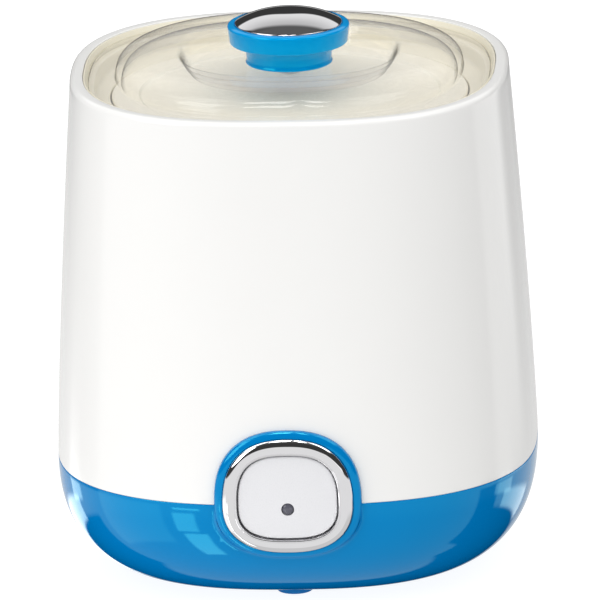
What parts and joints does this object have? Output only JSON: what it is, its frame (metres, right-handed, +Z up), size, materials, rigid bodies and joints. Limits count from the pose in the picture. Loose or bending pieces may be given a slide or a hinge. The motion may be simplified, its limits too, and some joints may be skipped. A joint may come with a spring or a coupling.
{
  "type": "yogurt maker",
  "caption": "Rounded-square bulk yogurt maker: white shell on a blue base, lift-out jar with cap, clear domed lid with a knob, and a sprung push button.",
  "frame": {"origin": "on the surface the feet stand on, under the middle of the body", "axes": "+Z up; the button faces -Y and the cord inlet faces +Y; seen from the front, +X is to the right"},
  "size_m": [0.19, 0.1976, 0.2227],
  "materials": {
    "white_shell": "glossy white ABS",
    "blue_base": "glossy sky-blue ABS",
    "cream_liner": "satin cream polypropylene",
    "blue_foot": "soft blue rubber",
    "screw_steel": "zinc-plated",
    "chrome_trim": "bright chrome plating",
    "gland_rubber": "matt black moulded",
    "red_silicone": "silicone",
    "plate_aluminium": "brushed",
    "heater_film": "polyimide film with etched track",
    "mica": "mica sheet",
    "sensor_ceramic": "phenolic and tin plate",
    "board_green": "solder-masked laminate",
    "relay_blue": "moulded case",
    "capacitor_sleeve": "heat-shrunk sleeve",
    "chip_black": "epoxy package",
    "terminal_white": "nylon",
    "lead_red": "silicone-covered wire",
    "lead_yellow": "PVC-covered wire",
    "led_clear": "clear epoxy",
    "spring_steel": "bright wire",
    "button_silver": "satin pearl",
    "lens_grey": "smoked",
    "pipe_clear": "clear acrylic",
    "switch_white": "moulded",
    "jar_milky": "milky translucent polypropylene",
    "cap_cream": "satin cream polyethylene",
    "seal_clear": "translucent silicone",
    "lid_clear": "clear polystyrene with a faint warm tint",
    "knob_blue": "glossy sky-blue ABS"
  },
  "bodies": {
    "root": {"outer_shell": "white_shell", "base_shell": "blue_base", "well_liner": "cream_liner", "base_plate": "blue_base", "feet": "blue_foot", "base_screws": "screw_steel", "bezel_ring": "chrome_trim", "cord_gland": "gland_rubber", "gland_nut": "gland_rubber", "heater_gasket": "red_silicone", "heater_plate": "plate_aluminium", "heating_element": "heater_film", "insulation_disc": "mica", "thermostat": "sensor_ceramic", "thermal_fuse": "sensor_ceramic", "sensor_clip": "screw_steel", "clip_nut": "screw_steel", "circuit_board": "board_green", "board_screws": "screw_steel", "relay": "relay_blue", "capacitor": "capacitor_sleeve", "controller_chip": "chip_black", "terminal_block": "terminal_white", "terminal_screws": "screw_steel", "heater_leads": "lead_red", "switch_leads": "lead_yellow", "switch_board": "board_green", "switch_screws": "screw_steel", "push_switch": "chip_black", "status_led": "led_clear", "button_spring": "spring_steel"},
    "button": {"button_face": "button_silver", "indicator_lens": "lens_grey", "light_pipe": "pipe_clear", "button_stem": "switch_white"},
    "jar_body": {"jar": "jar_milky"},
    "cap_body": {"jar_cap": "cap_cream", "cap_seal": "seal_clear"},
    "lid_body": {"lid": "lid_clear", "knob": "knob_blue", "knob_cap": "chrome_trim", "knob_screw": "screw_steel", "knob_washer": "seal_clear"}
  },
  "joints": [
    {"name": "button_press", "type": "slide", "parent": "root", "child": "button", "axis": [0, 1, 0], "range_m": [0, 0.0015], "stiffness_N_per_m": 600, "deforming": ["button_spring"]},
    {"name": "jar_lift", "type": "slide", "parent": "root", "child": "jar_body", "axis": [0, 0, 1], "range_m": [0, 0.17]},
    {"name": "cap_lift", "type": "slide", "parent": "jar_body", "child": "cap_body", "axis": [0, 0, 1], "range_m": [0, 0.04]},
    {"name": "lid_lift", "type": "slide", "parent": "cap_body", "child": "lid_body", "axis": [0, 0, 1], "range_m": [0, 0.08]}
  ]
}
